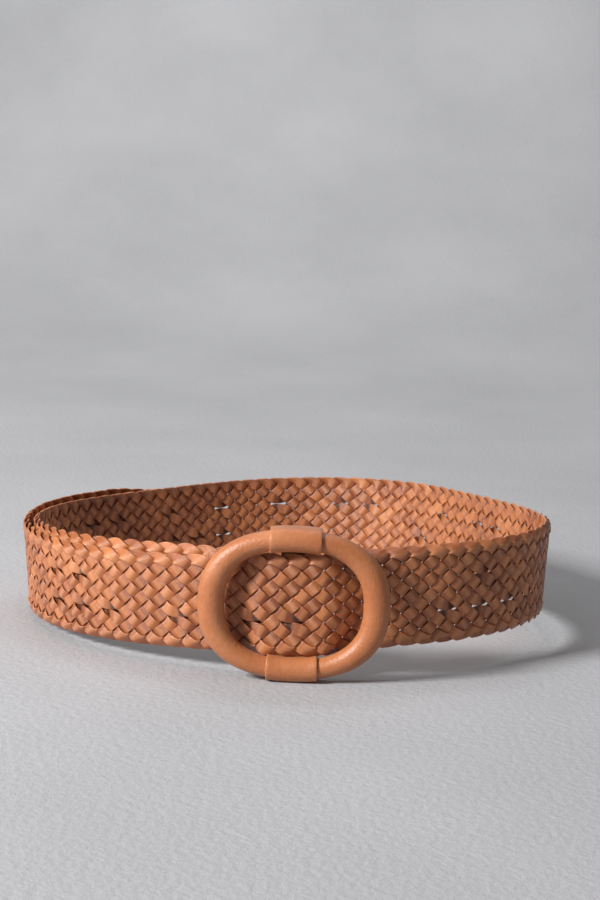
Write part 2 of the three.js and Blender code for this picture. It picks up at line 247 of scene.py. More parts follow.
def bump(nodes, links, surface, height, depth):
    node = nodes.new("ShaderNodeBump")
    node.inputs["Strength"].default_value = 1.0
    node.inputs["Distance"].default_value = depth
    links.new(height, node.inputs["Height"])
    links.new(node.outputs["Normal"], surface.inputs["Normal"])


# %% The tan of the laces
TAN_DEEP, TAN, TAN_PALE = (0.270, 0.070, 0.020), (0.480, 0.156, 0.050), (0.690, 0.310, 0.138)
# Painted shade: the near-black laid where laces dive under each other, standing in for the shadow in those
# gaps.
TAN_PAINTED_SHADE = (0.060, 0.014, 0.005)


def ease(nodes, links, value, low, high):
    node = nodes.new("ShaderNodeMapRange")
    node.interpolation_type = "SMOOTHSTEP"
    node.inputs["From Min"].default_value, node.inputs["From Max"].default_value = low, high
    links.new(value, node.inputs["Value"])
    return node.outputs["Result"]


def lace_leather():
    finish, nodes, links, surface = shader("lace_leather", 0.34, specular=0.65, sheen=0.04)
    place = nodes.new("ShaderNodeTexCoord").outputs["Object"]
    tone = nodes.new("ShaderNodeAttribute")
    tone.attribute_name = "lace_tone"
    uv = nodes.new("ShaderNodeUVMap")
    uv.uv_map = "lace_uv"
    stretch = nodes.new("ShaderNodeMapping")
    stretch.inputs["Scale"].default_value = (0.22, 3.4, 1.0)
    links.new(uv.outputs["UV"], stretch.inputs["Vector"])

    patches = noise(nodes, links, place, 38.0, 2.0)
    streaks = noise(nodes, links, stretch.outputs["Vector"], 1.4, 4.0, 0.6)
    hide = math(nodes, links, "ADD", math(nodes, links, "MULTIPLY", patches, 0.5),
                math(nodes, links, "MULTIPLY", streaks, 0.4))
    shade = math(nodes, links, "ADD", hide, math(nodes, links, "MULTIPLY", tone.outputs["Fac"], 0.2))
    body = ramp(nodes, links, shade, ((0.32, TAN_DEEP), (0.54, TAN), (0.84, TAN_PALE)))
    deep = nodes.new("ShaderNodeAttribute")
    deep.attribute_name = "lace_depth"
    # Painted shade: near the middle of the braid, where laces dive under each other, the colour is pulled to
    # a near-black.
    proud = math(nodes, links, "ABSOLUTE", deep.outputs["Fac"], 0.0)
    out_of_painted_shade = ease(nodes, links, proud, 0.05, 0.62)
    # Painted highlight, partly rubbed wear: the proudest crests of the laces are lightened toward the pale
    # tan.
    highlight_and_wear_share = math(nodes, links, "MULTIPLY", ease(nodes, links, proud, 1.1, 1.36), 0.35)
    highlight_and_wear_color = blend_color(nodes, links, highlight_and_wear_share, body, (*TAN_PALE, 1))
    links.new(blend_color(nodes, links, out_of_painted_shade, (*TAN_PAINTED_SHADE, 1), highlight_and_wear_color), surface.inputs["Base Color"])

    pores = noise(nodes, links, place, 2600.0, 2.0)
    grain = math(nodes, links, "ADD", math(nodes, links, "MULTIPLY", pores, 0.4), streaks)
    bump(nodes, links, surface, grain, 0.00028)
    return finish


LACE_LEATHER = lace_leather()
print("made", LACE_LEATHER.name, "with", len(LACE_LEATHER.node_tree.nodes), "nodes")

# %% [markdown]
# ## The smooth leather and its cut edges
#
# The ring cover, the wraps, the folded tab and the end cap are cut from one smooth hide. It is a
# little glossier than the laces and has fine creases where it is pulled round a curve. Where a
# strip is cut, the edge shows the paler inside of the hide, so it gets a finish of its own.

# %% Smooth leather, cut edge, thread, cord and steel
def smooth_leather():
    finish, nodes, links, surface = shader("smooth_leather", 0.42, specular=0.55, sheen=0.04)
    place = nodes.new("ShaderNodeTexCoord").outputs["Object"]
    patches = noise(nodes, links, place, 30.0, 3.0)
    fine = noise(nodes, links, place, 420.0, 4.0)
    shade = math(nodes, links, "ADD", math(nodes, links, "MULTIPLY", patches, 0.75),
                 math(nodes, links, "MULTIPLY", fine, 0.22))
    body = ramp(nodes, links, shade, ((0.30, (0.345, 0.105, 0.034)), (0.50, (0.450, 0.155, 0.056)),
                                      (0.72, (0.540, 0.218, 0.094))))
    links.new(body, surface.inputs["Base Color"])
    pebbles = nodes.new("ShaderNodeTexVoronoi")
    pebbles.feature = "SMOOTH_F1"
    pebbles.inputs["Scale"].default_value = 1500.0
    links.new(place, pebbles.inputs["Vector"])
    creases = noise(nodes, links, place, 460.0, 5.0, 0.62)
    pebbled = math(nodes, links, "MULTIPLY", pebbles.outputs["Distance"], 0.5)
    grain = math(nodes, links, "ADD", pebbled, creases)
    bump(nodes, links, surface, grain, 0.00026)
    return finish


def plain_finish(name, dark, light, roughness, scale, depth, metallic=0.0):
    finish, nodes, links, surface = shader(name, roughness, metallic=metallic)
    place = nodes.new("ShaderNodeTexCoord").outputs["Object"]
    grain = noise(nodes, links, place, scale, 4.0)
    links.new(ramp(nodes, links, grain, ((0.35, dark), (0.65, light))), surface.inputs["Base Color"])
    bump(nodes, links, surface, grain, depth)
    return finish


SMOOTH_LEATHER = smooth_leather()
CUT_EDGE = plain_finish("cut_edge", (0.58, 0.300, 0.140), (0.80, 0.500, 0.290), 0.8, 1800.0, 0.0001)
WAXED_THREAD = plain_finish("waxed_thread", (0.30, 0.110, 0.040), (0.46, 0.190, 0.080), 0.55, 3000.0, 0.00005)
PADDED_CORE = plain_finish("padded_core", (0.020, 0.018, 0.016), (0.040, 0.036, 0.032), 0.65, 900.0, 0.0001)
BRUSHED_STEEL = plain_finish("brushed_steel", (0.42, 0.42, 0.43), (0.60, 0.60, 0.61), 0.34, 700.0,
                             0.00002, 1.0)
print("finishes:", [finish.name for finish in bpy.data.materials if finish.use_nodes])

# %% [markdown]
# ## How the braid goes
#
# Twelve laces lie side by side in twelve lanes. At every step along the strap each lace trades
# places with a neighbour, so it travels slantwise up or down the strap. At odd rows the falling
# lace is under, at even rows it is over, which is a plain weave. At the strap's edges a lace
# turns back. At rows 4 and 8 some meetings, chosen at random, are not crossings: both laces turn
# back there, and a small slit stays open. Following these rules for each lace gives its whole path.

# %% Follow each lace through the braid
LACES, STEP, LANE = 12, 5.0, STRAP_HEIGHT / 12
LACE_HALF_WIDTH, LACE_HALF_THICKNESS = 2.95, 0.42
CROSSING_DEPTH = 0.94
RIM_NEAR, RIM_FAR = 1.5, 4.5
EDGE_TURN, EDGE_ROLL = 2.5, 0.6
SLIT_TURN, SLIT_SPREAD = 2.7, 0.45
SLIT_ROWS, SLIT_SHARE = (4, 8), 0.5


def lace_paths(columns):
    lanes = list(range(1, LACES + 1))
    paths = {lace: [] for lace in range(LACES)}
    hand = np.random.default_rng(4)
    for column in range(columns):
        along = column * STEP
        rows = range(1, LACES, 2) if column % 2 == 0 else range(2, LACES - 1, 2)
        for row in rows:
            rising, falling = lanes.index(row), lanes.index(row + 1)
            if row in SLIT_ROWS and column % 4 == 3 and hand.random() < SLIT_SHARE:
                open_by = SLIT_TURN + hand.uniform(-SLIT_SPREAD, SLIT_SPREAD)
                paths[rising].append((along, row * LANE - open_by, 0.0, 0.0))
                paths[falling].append((along, row * LANE + open_by, 0.0, 0.0))
                continue
            above = CROSSING_DEPTH if row % 2 == 1 else -CROSSING_DEPTH
            paths[rising].append((along, row * LANE, above, 0.0))
            paths[falling].append((along, row * LANE, -above, 0.0))
            lanes[rising], lanes[falling] = row + 1, row
        if column % 2 == 1:
            paths[lanes.index(1)].append((along, EDGE_TURN, 0.0, EDGE_ROLL))
            paths[lanes.index(LACES)].append((along, STRAP_HEIGHT - EDGE_TURN, 0.0, -EDGE_ROLL))
    return [np.array(paths[lace]) for lace in range(LACES)]


print("first lace starts", lace_paths(6)[0].tolist())

# %% Smooth a path, and measure the strap's length against its turn
SAMPLES = 6


def smooth_path(corners):
    before, after = corners[:-3], corners[3:]
    here, there = corners[1:-2], corners[2:-1]
    rows = []
    for share in np.arange(SAMPLES) / SAMPLES:
        rows.append(0.5 * (2 * here + (there - before) * share
                           + (2 * before - 5 * here + 4 * there - after) * share ** 2
                           + (3 * here - before - 3 * there + after) * share ** 3))
    path = np.stack(rows, 1).reshape(-1, 4)
    flat = np.tanh(0.8 * path[:, 2] / CROSSING_DEPTH) / np.tanh(0.8)
    path[:, 2] = CROSSING_DEPTH * flat
    return path


BRAID_START, BRAID_END = 5.6, TAIL["end"] - 0.4
turns = np.linspace(BRAID_START, BRAID_END, 4000)
plan = loop_point(turns) + outward(turns) * offset_at(turns, 0 * turns)[:, None]
lengths = np.concatenate([[0], np.cumsum(np.linalg.norm(np.diff(plan, axis=0), axis=1))])
columns = int(lengths[-1] / STEP) + 3
print("strap length", round(lengths[-1]), "mm,", columns, "columns")

# %% [markdown]
# ## From a path to a strip of leather
#
# A lace is a narrow strip, about 6 mm wide and 0.8 mm thick, with a slightly crowned face and
# rounded edges. Geometry Nodes is the natural tool for something that follows a path: the tree
# below sweeps a flattened oval along the lace's line, lets it wander a little as hand braiding
# does, and stores where each point lies along and across the lace for the leather to use.

# %% The lace tree
def new_tree(name, inputs):
    tree = bpy.data.node_groups.new(name, "GeometryNodeTree")
    tree.interface.new_socket("Geometry", in_out="INPUT", socket_type="NodeSocketGeometry")
    tree.interface.new_socket("Geometry", in_out="OUTPUT", socket_type="NodeSocketGeometry")
    for label, kind, value in inputs:
        socket = tree.interface.new_socket(label, in_out="INPUT", socket_type=kind)
        if value is not None:
            socket.default_value = value
    return tree, tree.nodes.new("NodeGroupInput"), tree.nodes.new("NodeGroupOutput")


def join(tree, *pairs):
    for start, end in pairs:
        tree.links.new(start, end)


def tree_math(tree, operation, first, second):
    node = tree.nodes.new("ShaderNodeMath")
    node.operation = operation
    for socket, value in zip(node.inputs, (first, second)):
        if isinstance(value, (int, float)):
            socket.default_value = value
        else:
            tree.links.new(value, socket)
    return node.outputs[0]


def store(tree, geometry, name, value, kind="FLOAT", domain="POINT"):
    node = tree.nodes.new("GeometryNodeStoreNamedAttribute")
    node.data_type, node.domain = kind, domain
    node.inputs["Name"].default_value = name
    join(tree, (geometry, node.inputs["Geometry"]), (value, node.inputs["Value"]))
    return node.outputs["Geometry"]


def finish_tree(tree, given, result, geometry):
    shade = tree.nodes.new("GeometryNodeSetShadeSmooth")
    real = tree.nodes.new("GeometryNodeRealizeInstances")
    paint = tree.nodes.new("GeometryNodeSetMaterial")
    join(tree, (geometry, shade.inputs["Geometry"]), (shade.outputs[0], real.inputs["Geometry"]),
         (real.outputs[0], paint.inputs["Geometry"]), (given.outputs["Finish"], paint.inputs["Material"]),
         (paint.outputs[0], result.inputs[0]))


def rounded(tree, value, power):
    size = tree_math(tree, "POWER", tree_math(tree, "ABSOLUTE", value, 0.0), power)
    return tree_math(tree, "MULTIPLY", size, tree_math(tree, "SIGN", value, 0.0))


def lace_tree():
    tree, given, result = new_tree("lace", (
        ("Half Width", "NodeSocketFloat", 3.0), ("Half Thickness", "NodeSocketFloat", 0.65),
        ("Wander", "NodeSocketFloat", 0.3), ("Seed", "NodeSocketFloat", 0.0),
        ("Tone", "NodeSocketFloat", 0.0), ("Finish", "NodeSocketMaterial", None)))
    upright = tree.nodes.new("GeometryNodeSetCurveNormal")
    upright.mode = "Z_UP"
    shift = tree.nodes.new("GeometryNodeSetPosition")
    drift = tree.nodes.new("ShaderNodeTexNoise")
    drift.noise_dimensions = "4D"
    drift.inputs["Scale"].default_value = 0.12
    centred = tree.nodes.new("ShaderNodeVectorMath")
    centred.operation = "MULTIPLY_ADD"
    spread = tree.nodes.new("ShaderNodeCombineXYZ")
    back = tree.nodes.new("ShaderNodeCombineXYZ")
    join(tree, (given.outputs["Geometry"], upright.inputs["Curve"]),
         (given.outputs["Seed"], drift.inputs["W"]),
         (upright.outputs[0], shift.inputs["Geometry"]), (drift.outputs["Color"], centred.inputs[0]),
         (spread.outputs[0], centred.inputs[1]), (back.outputs[0], centred.inputs[2]),
         (centred.outputs[0], shift.inputs["Offset"]))
    wander = tree_math(tree, "MULTIPLY", given.outputs["Wander"], 2.0)
    halfway = tree_math(tree, "MULTIPLY", given.outputs["Wander"], -1.0)
    for axis in "XY":
        join(tree, (wander, spread.inputs[axis]), (halfway, back.inputs[axis]))
    length = tree.nodes.new("GeometryNodeSplineParameter").outputs["Length"]
    line = store(tree, shift.outputs[0], "lace_along", length)

    oval = tree.nodes.new("GeometryNodeCurvePrimitiveCircle")
    oval.inputs["Resolution"].default_value = 16
    place = tree.nodes.new("GeometryNodeInputPosition")
    parts = tree.nodes.new("ShaderNodeSeparateXYZ")
    flat = tree.nodes.new("ShaderNodeCombineXYZ")
    shape = tree.nodes.new("GeometryNodeSetPosition")
    join(tree, (place.outputs[0], parts.inputs[0]), (oval.outputs["Curve"], shape.inputs["Geometry"]),
         (flat.outputs[0], shape.inputs["Position"]))
    across = tree_math(tree, "MULTIPLY", rounded(tree, parts.outputs["X"], 0.3), given.outputs["Half Width"])
    crowned = rounded(tree, parts.outputs["Y"], 0.36)
    deep = tree_math(tree, "MULTIPLY", crowned, given.outputs["Half Thickness"])
    join(tree, (across, flat.inputs["X"]), (deep, flat.inputs["Y"]))
    widths = tree.nodes.new("ShaderNodeSeparateXYZ")
    join(tree, (place.outputs[0], widths.inputs[0]))
    section = store(tree, shape.outputs[0], "lace_across", widths.outputs["X"])

    sweep = tree.nodes.new("GeometryNodeCurveToMesh")
    sweep.inputs["Fill Caps"].default_value = True
    join(tree, (line, sweep.inputs["Curve"]), (section, sweep.inputs["Profile Curve"]))
    coordinates = tree.nodes.new("ShaderNodeCombineXYZ")
    for name, axis in (("lace_along", "X"), ("lace_across", "Y")):
        read = tree.nodes.new("GeometryNodeInputNamedAttribute")
        read.inputs["Name"].default_value = name
        join(tree, (read.outputs[0], coordinates.inputs[axis]))
    mapped = store(tree, sweep.outputs[0], "lace_uv", coordinates.outputs[0], "FLOAT2", "CORNER")
    heights = tree.nodes.new("ShaderNodeSeparateXYZ")
    join(tree, (tree.nodes.new("GeometryNodeInputPosition").outputs[0], heights.inputs[0]))
    sunk = store(tree, mapped, "lace_depth", heights.outputs["Z"])
    toned = store(tree, sunk, "lace_tone", given.outputs["Tone"])
    finish_tree(tree, given, result, toned)
    return tree


LACE_TREE = lace_tree()
print("lace tree has", len(LACE_TREE.nodes), "nodes")

# %% Run a tree and keep its mesh
def run_tree(tree, source, values):
    modifier = source.modifiers.new(tree.name, "NODES")
    modifier.node_group = tree
    for item in tree.interface.items_tree:
        if item.item_type == "SOCKET" and item.in_out == "INPUT" and item.name in values:
            modifier[item.identifier] = values[item.name]
    return bake(source)


def bake(source):
    graph = bpy.context.evaluated_depsgraph_get()
    mesh = bpy.data.meshes.new_from_object(source.evaluated_get(graph))
    bpy.data.objects.remove(source)
    return mesh


def line_object(points, name):
    curve = bpy.data.curves.new(name, "CURVE")
    curve.dimensions = "3D"
    spline = curve.splines.new("POLY")
    spline.points.add(len(points) - 1)
    spline.points.foreach_set("co", np.column_stack([points[:, :3], np.ones(len(points))]).ravel())
    if points.shape[1] > 3:
        spline.points.foreach_set("tilt", points[:, 3])
    holder = bpy.data.objects.new(name, curve)
    bpy.context.collection.objects.link(holder)
    return holder


def show(mesh, name):
    mesh.name = name
    piece = bpy.data.objects.new(name, mesh)
    bpy.context.collection.objects.link(piece)
    return piece


# %% [markdown]
# ## Bending the braid round the loop
#
# A flat lace is easy to draw and easy to check. Bending it comes last: the distance along the
# strap becomes a turn, and its height and depth stay what they are. The belt bends at two places
# in the CAD model, so each lace is cut into three stretches halfway between two crossings, where it
# dives under its neighbours. The first stretch goes with the strap; the two past the bends stay where they
# are drawn.

# %% Make the twelve laces in three stretches
def bend_mesh(mesh):
    flat = np.empty(len(mesh.vertices) * 3)
    mesh.vertices.foreach_get("co", flat)
    flat = flat.reshape(-1, 3)
    turn = np.interp(flat[:, 0], lengths, turns)
    to_rim = np.minimum(flat[:, 1], STRAP_HEIGHT - flat[:, 1])
    # The stored depth drives the painted shade of the lace finish; near the rims it is held at full depth so
    # the painted shade stays off the strap's edges.
    proud = np.maximum(np.abs(flat[:, 2]), CROSSING_DEPTH * (1 - smooth(to_rim, RIM_NEAR, RIM_FAR)))
    mesh.attributes["lace_depth"].data.foreach_set("value", proud)
    mesh.vertices.foreach_set("co", stand(on_strap(turn, flat[:, 2], flat[:, 1])).ravel())
    mesh.flip_normals()
    mesh.update()


BANDS = ("lower_braid", "middle_braid", "upper_braid")
STRETCHES = (
    ("strap", BRAID_START, 378.0, BANDS),
    ("front_bend", 378.0, 418.0, tuple(band + "_tail_front" for band in BANDS)),
    ("side_bend", 418.0, BRAID_END, tuple(band + "_tail_rear" for band in BANDS)),
)
tones = np.random.default_rng(11).uniform(-0.5, 0.5, LACES)

for number, corners in enumerate(lace_paths(columns)):
    path = smooth_path(corners)
    for stretch, first, last, nodes in STRETCHES:
        start, end = (np.interp(turn, turns, lengths) for turn in (first, last))
        start, end = ((np.floor(value / STEP) + 0.5) * STEP for value in (start, end))
        inside = (path[:, 0] > start - 0.01) & (path[:, 0] < end + 0.01) & (path[:, 0] < lengths[-1])
        mesh = run_tree(LACE_TREE, line_object(path[inside], "lace_line"), {
            "Half Width": LACE_HALF_WIDTH, "Half Thickness": LACE_HALF_THICKNESS, "Wander": 0.3,
            "Seed": number * 7.3, "Tone": float(tones[number]), "Finish": LACE_LEATHER})
        bend_mesh(mesh)
        piece = show(mesh, f"lace_{number + 1:02d}_{stretch}")
        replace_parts(piece, *nodes)
        if stretch == "strap":
            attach(piece, "strap")
        elif stretch == "front_bend":
            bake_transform(piece)
        else:
            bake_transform(piece)

# %% [markdown]
# ## The covered ring
#
# The ring is a stiff oval with a padded round section, fuller at its sides, and two pieces of
# smooth leather are pulled round it and sewn along the back. A sweep along an oval gives the right
# shape. Small ripples on the inner side, where the leather is short of room, keep it from looking
# cast.

# %% Place things on the ring
def turn_matrix(axis, degrees):
    angle = np.radians(degrees)
    c, s = np.cos(angle), np.sin(angle)
    return {"X": np.array([[1, 0, 0], [0, c, -s], [0, s, c]]),
            "Y": np.array([[c, 0, s], [0, 1, 0], [-s, 0, c]]),
            "Z": np.array([[c, -s, 0], [s, c, 0], [0, 0, 1]])}[axis]


RING_TURN = turn_matrix("Z", RING["yaw"]) @ turn_matrix("X", RING["lean"]) @ turn_matrix("Y", RING["roll"])
RING_PLACE = np.array([RING["x"], RING["y"], RING["z"]])


def on_ring(points):
    return stand(points @ RING_TURN.T + RING_PLACE)


def ring_line(angle):
    def reach(value):
        return np.sign(value) * np.abs(value) ** (2 / RING["squareness"])

    def at(a):
        return np.stack([RING["radius_x"] * reach(np.cos(a)), 0 * a, RING["radius_z"] * reach(np.sin(a))], -1)

    along = at(angle + 0.02) - at(angle - 0.02)
    along = along / np.linalg.norm(along, axis=-1, keepdims=True)
    return at(angle), np.stack([along[..., 2], 0 * angle, -along[..., 0]], -1)


def tube_half(angle):
    return mix(RING["top_half"], RING["side_half"], np.abs(np.cos(angle)) ** 1.5)


def tube(angle, around, inset):
    centre, outwards = ring_line(angle)
    radial = (tube_half(angle) - inset) * np.cos(around)
    depth = (RING["depth_half"] - inset) * np.sin(around)
    return centre + outwards * radial[..., None] + np.stack([0 * depth, depth, 0 * depth], -1)


# %% Build a closed grid mesh
def grid_mesh(name, rows, closed_rows=False, closed_columns=False):
    high, wide = rows.shape[:2]
    faces = []
    for i in range(high if closed_rows else high - 1):
        for j in range(wide if closed_columns else wide - 1):
            i2, j2 = (i + 1) % high, (j + 1) % wide
            faces.append((i * wide + j, i * wide + j2, i2 * wide + j2, i2 * wide + j))
    mesh = bpy.data.meshes.new(name)
    mesh.from_pydata(rows.reshape(-1, 3).tolist(), [], faces)
    mesh.shade_smooth()
    return mesh


def face_outwards(mesh):
    shell = bmesh.new()
    shell.from_mesh(mesh)
    bmesh.ops.recalc_face_normals(shell, faces=shell.faces)
    shell.to_mesh(mesh)
    shell.free()
    return mesh


# %% Two covers, each a tube of leather with a wall
COVER, CLEARANCE = 1.0, 0.3


def ring_cover(side):
    gap = CLEARANCE / RING["radius_x"]
    angles = -np.pi / 2 + side * np.linspace(gap, np.pi - gap, 120)
    around = (np.arange(36) + 0.5) / 36 * 2 * np.pi
    a, b = np.meshgrid(angles, around, indexing="ij")
    inner_side = np.clip(-np.cos(b), 0, 1) ** 1.5
    rng = np.random.default_rng(5 + side)
    ripple = sum(np.sin(a * n + rng.uniform(0, 6.3) + 0.6 * np.sin(b * 2)) / k
                 for k, n in enumerate((61, 97, 143), 1))
    outer = tube(a, b, (0.045 * ripple + 0.03) * inner_side + 0.03)
    inner = tube(a, b, COVER + 0 * a)
    shell = np.concatenate([outer, inner[::-1]])
    mesh = face_outwards(grid_mesh("cover", on_ring(shell), closed_rows=True, closed_columns=True))
    mesh.materials.append(SMOOTH_LEATHER)
    return mesh


for side, label in ((1, "right"), (-1, "left")):
    piece = show(ring_cover(side), f"ring_{label}_leather")
    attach(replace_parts(piece, f"ring_cover_{label}"), "buckle")
    print(piece.name, len(piece.data.polygons), "faces")

# %% [markdown]
# ## Folded strips of leather
#
# The wraps that hold the ring to its bar, the tab that holds the laces' fixed ends and the cap on
# the free end are all the same thing: a flat strip of leather, folded along a line. A strip is
# drawn as its middle surface, Solidify gives it its thickness and its own finish on the cut edges,
# and Bevel rounds those edges a little, as a burnishing tool does.

# %% Turn a surface into a strip of leather
def leather_strip(name, rows, thickness, edge_finish):
    mesh = grid_mesh(name, rows)
    mesh.materials.append(SMOOTH_LEATHER)
    mesh.materials.append(edge_finish)
    holder = show(mesh, name)
    wall = holder.modifiers.new("thickness", "SOLIDIFY")
    wall.thickness, wall.offset = thickness / 1000, 0.0
    wall.use_even_offset, wall.material_offset_rim = True, 1
    edge = holder.modifiers.new("edges", "BEVEL")
    edge.width, edge.segments = 0.00022, 2
    edge.limit_method, edge.angle_limit = "ANGLE", np.radians(55)
    made = face_outwards(bake(holder))
    made.shade_smooth()
    return show(made, name)


def fine_line(points, count):
    points = np.array(points, float)
    for _ in range(2):
        quarter = mix(points[:-1], points[1:], 0.25)
        three = mix(points[:-1], points[1:], 0.75)
        cut = np.stack([quarter, three], 1).reshape(-1, points.shape[1])
        points = np.concatenate([points[:1], cut, points[-1:]])
    run = np.concatenate([[0], np.cumsum(np.linalg.norm(np.diff(points, axis=0), axis=1))])
    return np.stack([np.interp(np.linspace(0, run[-1], count), run, column) for column in points.T], -1)


print("a strip of 3 points and 5 samples", fine_line([(0, 0), (1, 0), (1, 1)], 5).round(2).tolist())

# %% Wraps at the top and bottom of the ring
WRAP_LEATHER, WRAP_WIDTH, WRAP_LEG = 1.1, 24.4, 1.2
WRAP_SAMPLES, WRAP_NARROWED = 90, 30
half_wrap = WRAP_LEATHER / 2


def tube_height(x):
    angle = np.arccos(abs(x / RING["radius_x"]) ** (RING["squareness"] / 2))
    return ring_line(np.array(angle))[0][2], tube_half(angle)


def wrap_line(x):
    z, half = tube_height(x)
    crown = tube_height(WRAP_WIDTH / 3)[0] + RING["top_half"] + CLEARANCE + half_wrap
    leg = RING["radius_z"] - RING["top_half"] - CLEARANCE - WRAP_LEATHER - WRAP_LEG
    reach = RING["depth_half"] + CLEARANCE + half_wrap
    back = RING["depth_half"] + CLEARANCE + BAR["thickness"] + CLEARANCE + half_wrap
    points = [(RING["depth_half"] - half_wrap, leg)]
    for degrees in range(-110, 101, 15):
        turn = np.radians(degrees)
        height = z + (half + CLEARANCE + half_wrap) * np.sin(turn)
        points.append((-reach * np.cos(turn), min(height, crown)))
    points += [(back - 0.5, z + BAR["overlap"] + 0.7), (back, z + BAR["overlap"] - 0.9), (back, leg)]
    return fine_line(points, WRAP_SAMPLES)


def wrap(side):
    rows = []
    for x in np.linspace(-WRAP_WIDTH / 2, WRAP_WIDTH / 2, 17):
        line = wrap_line(x)
        inside = np.clip(1 - (np.arange(WRAP_SAMPLES) / WRAP_NARROWED), 0, 1)
        narrowed = x * (1 - 0.035 * inside)
        rows.append(np.stack([narrowed + 0 * inside, line[:, 0], side * line[:, 1]], -1))
    return on_ring(np.array(rows))


for side, label in ((1, "top"), (-1, "bottom")):
    piece = leather_strip(f"{label}_wrap_leather", wrap(side), WRAP_LEATHER, CUT_EDGE)
    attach(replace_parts(piece, f"{label}_wrap"), "buckle")
    low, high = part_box(f"{label}_wrap")
    print(piece.name, "CAD from", np.round(low, 4), "to", np.round(high, 4))

# %% The folded tab on the bar, and the cap on the free end
TAB_LEATHER, TAB_HEIGHT, CAP_LENGTH, CAP_REACH = 1.2, 40.0, 26.0, 23.3
CAP_STITCH_REACH = 21.0
LEAF = 1.4 + CLEARANCE + TAB_LEATHER / 2
TURN_PER_MM = np.degrees(1 / LOOP_RADIUS)


def plan_at(turn, out):
    turn = np.array(float(turn))
    return loop_point(turn) + outward(turn) * (offset_at(turn, STRAP_MIDDLE) + out)


def upright_strip(outline, turn, reach):
    slope, _, drop = section_at(np.array(float(turn)))
    lean = outward(np.array(float(turn)))
    rows = []
    for up in np.linspace(-reach, reach, 15):
        plan = outline + lean * up * slope
        rows.append(np.column_stack([plan, np.full(len(plan), STRAP_MIDDLE - drop + up)]))
    return stand(np.array(rows))


def tab_outline():
    turns_out = [BRAID_START + k * 8 * TURN_PER_MM for k in (3, 2, 1, 0)]
    half = BAR["thickness"] / 2 + BAR["play"] + TAB_LEATHER / 2
    left, right = RING["x"] - BAR["width"] / 2 - 0.5, RING["x"] + BAR["width"] / 2 + BAR["side_play"]
    points = [plan_at(turn, LEAF) for turn in turns_out] + [(left, BAR["y"] - half)]
    for degrees in range(-90, 91, 30):
        angle = np.radians(degrees)
        points.append((right + half * np.cos(angle) * 0.8, BAR["y"] + half * np.sin(angle)))
    points += [(left, BAR["y"] + half)] + [plan_at(turn, -LEAF) for turn in turns_out[::-1]]
    return fine_line(points, 110)


def cap_outline():
    first, last = TAIL["end"] - CAP_LENGTH * TURN_PER_MM, TAIL["end"] + 0.9 * TURN_PER_MM
    out = [plan_at(turn, LEAF) for turn in np.linspace(first, last, 5)]
    inner = [plan_at(turn, -LEAF) for turn in np.linspace(last, first, 5)]
    return fine_line(out + inner, 80)


tab_rows = upright_strip(tab_outline(), BRAID_START, TAB_HEIGHT / 2)
tab = leather_strip("buckle_tab_leather", tab_rows, TAB_LEATHER, SMOOTH_LEATHER)
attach(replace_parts(tab, "buckle_tab"), "strap")
cap_rows = upright_strip(cap_outline(), TAIL["end"], CAP_REACH)
cap = leather_strip("end_cap_leather", cap_rows, TAB_LEATHER, SMOOTH_LEATHER)
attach(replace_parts(cap, "tail_cap"), "tail_rear")

# %% [markdown]
# ## Stitching
#
# Every seam is a row of short stitches in waxed thread. One small tree serves them all: it
# walks a line, sets a stitch at each step and turns it to follow the seam. The stitch itself is a
# short fat oval, set a little into the leather.

# %% The stitch tree
def stitch_tree():
    tree, given, result = new_tree("stitches", (
        ("Pitch", "NodeSocketFloat", 0.003), ("Length", "NodeSocketFloat", 0.0023),
        ("Thread", "NodeSocketFloat", 0.00035), ("Finish", "NodeSocketMaterial", None)))
    walk = tree.nodes.new("GeometryNodeResampleCurve")
    walk.mode = "LENGTH"
    points = tree.nodes.new("GeometryNodeInstanceOnPoints")
    ball = tree.nodes.new("GeometryNodeMeshUVSphere")
    ball.inputs["Segments"].default_value, ball.inputs["Rings"].default_value = 8, 7
    tangent = tree.nodes.new("GeometryNodeInputTangent")
    aim = tree.nodes.new("FunctionNodeAlignRotationToVector")
    aim.axis = "X"
    size = tree.nodes.new("ShaderNodeCombineXYZ")
    join(tree, (given.outputs["Geometry"], walk.inputs["Curve"]),
         (given.outputs["Pitch"], walk.inputs["Length"]),
         (walk.outputs[0], points.inputs["Points"]), (ball.outputs["Mesh"], points.inputs["Instance"]),
         (tangent.outputs[0], aim.inputs["Vector"]), (aim.outputs[0], points.inputs["Rotation"]),
         (size.outputs[0], points.inputs["Scale"]))
    ball.inputs["Radius"].default_value = 1.0
    join(tree, (tree_math(tree, "MULTIPLY", given.outputs["Length"], 0.5), size.inputs["X"]),
         (given.outputs["Thread"], size.inputs["Y"]), (given.outputs["Thread"], size.inputs["Z"]))
    finish_tree(tree, given, result, points.outputs[0])
    return tree


STITCH_TREE = stitch_tree()


def sew(name, points, body, node, pitch=3.0):
    mesh = run_tree(STITCH_TREE, line_object(points, name), {
        "Pitch": pitch / 1000, "Length": pitch * 0.78 / 1000, "Thread": 0.00036, "Finish": WAXED_THREAD})
    piece = show(face_outwards(mesh), name)
    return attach(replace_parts(piece, node), body)


print("stitch tree has", len(STITCH_TREE.nodes), "nodes")

# %% Sew the tab, the cap and the ring cover
def upright_seam(turn, out, foot_turn, reach):
    return upright_strip(np.array([plan_at(turn, out)]), foot_turn, reach)[:, 0]


